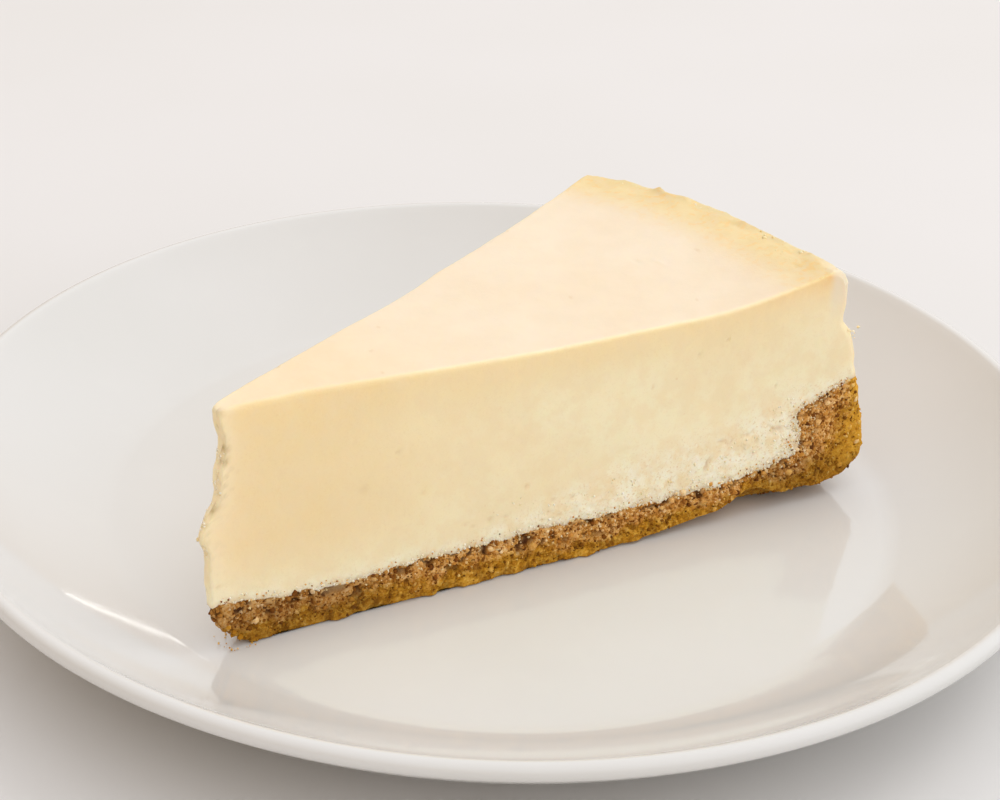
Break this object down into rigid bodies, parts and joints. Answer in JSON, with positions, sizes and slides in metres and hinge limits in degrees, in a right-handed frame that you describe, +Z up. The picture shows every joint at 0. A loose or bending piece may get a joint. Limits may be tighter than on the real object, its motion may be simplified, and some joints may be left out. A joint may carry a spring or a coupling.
{
  "type": "cheesecake slice on plate",
  "caption": "Wedge of baked cheesecake on a crumb crust, served on a round white coupe plate.",
  "frame": {"origin": "centre of the plate's foot, on the surface that the plate stands on", "axes": "+Z up; -Y faces the viewer of the picture; the slice's tip points towards -X and -Y"},
  "size_m": [0.21, 0.21, 0.0539],
  "materials": {
    "plate": "glossy white glazed porcelain",
    "filling": "dense pale-yellow baked cream, satin, slightly porous towards the crust",
    "crust": "golden-brown pressed biscuit crumbs, matte and grainy"
  },
  "bodies": {
    "root": {"plate": "plate", "filling": "filling", "crust": "crust"}
  },
  "joints": []
}
